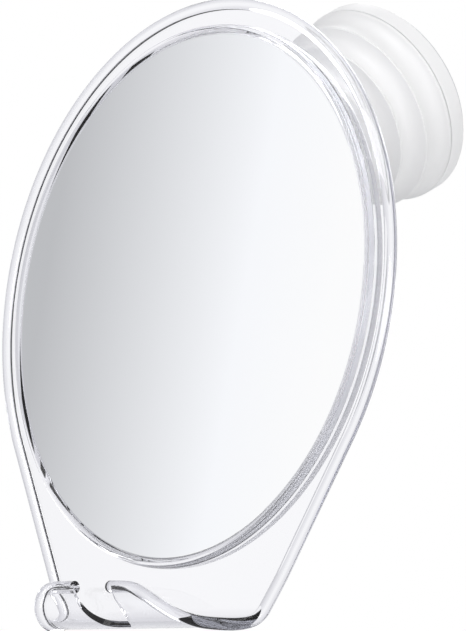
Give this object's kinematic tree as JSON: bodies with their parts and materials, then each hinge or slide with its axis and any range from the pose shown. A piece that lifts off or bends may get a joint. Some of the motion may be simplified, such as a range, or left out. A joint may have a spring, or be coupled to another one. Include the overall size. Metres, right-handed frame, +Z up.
{
  "type": "shower mirror",
  "caption": "Round fogless shower mirror in a clear frame with a curled razor tray, on a ball joint and a stepped twist-lock suction base.",
  "frame": {"origin": "centre of the suction pad's wall face", "axes": "+Y into the wall, -Y out into the room, +X to the right of someone facing the wall, +Z up"},
  "size_m": [0.1816, 0.1614, 0.1635],
  "materials": {
    "clear_plastic": "gloss",
    "mirror": "polished",
    "foam": "matte",
    "white_plastic": "satin",
    "nylon": "satin",
    "steel": "satin",
    "pad_rubber": "satin"
  },
  "bodies": {
    "base": {"suction_pad": "pad_rubber", "base_ring": "white_plastic", "return_spring": "steel", "thrust_washer": "nylon", "swivel_washer": "nylon", "knob_retainer": "white_plastic"},
    "knob": {"twist_knob": "white_plastic", "cam_ring": "nylon"},
    "pull": {"pull_stud": "steel", "cross_pin": "steel"},
    "swivel": {"ball_stud": "white_plastic"},
    "seat": {"ball_seat": "nylon", "seat_ring": "nylon", "socket_retainer": "white_plastic"},
    "head": {"clear_frame": "clear_plastic", "mirror_disc": "mirror", "mirror_foam_pad": "foam", "socket_base": "white_plastic", "socket_screw_1": "steel", "socket_screw_2": "steel", "socket_screw_3": "steel"}
  },
  "joints": [
    {"name": "knob_twist", "type": "hinge", "parent": "base", "child": "knob", "pos_m": [0, -0.016, 0], "axis": [0, 1, 0], "range_deg": [0, 90]},
    {"name": "stud_pull", "type": "slide", "parent": "base", "child": "pull", "axis": [0, -1, 0], "range_m": [0, 0.0025], "deforming": ["return_spring", "suction_pad"]},
    {"name": "stud_turn", "type": "hinge", "parent": "base", "child": "swivel", "pos_m": [0, -0.0644, 0], "axis": [0, 1, 0], "continuous": true},
    {"name": "ball_tilt", "type": "hinge", "parent": "swivel", "child": "seat", "pos_m": [0, -0.0644, 0], "axis": [0.9925, 0, 0.1219], "range_deg": [-4.3, 67.6]},
    {"name": "head_spin", "type": "hinge", "parent": "seat", "child": "head", "pos_m": [0, -0.0644, 0], "axis": [-0.064, -0.8511, 0.521], "continuous": true}
  ],
  "couplings": [
    {"joint": "stud_pull", "follows": "knob_twist", "m_per_rad": 0.0015915}
  ]
}
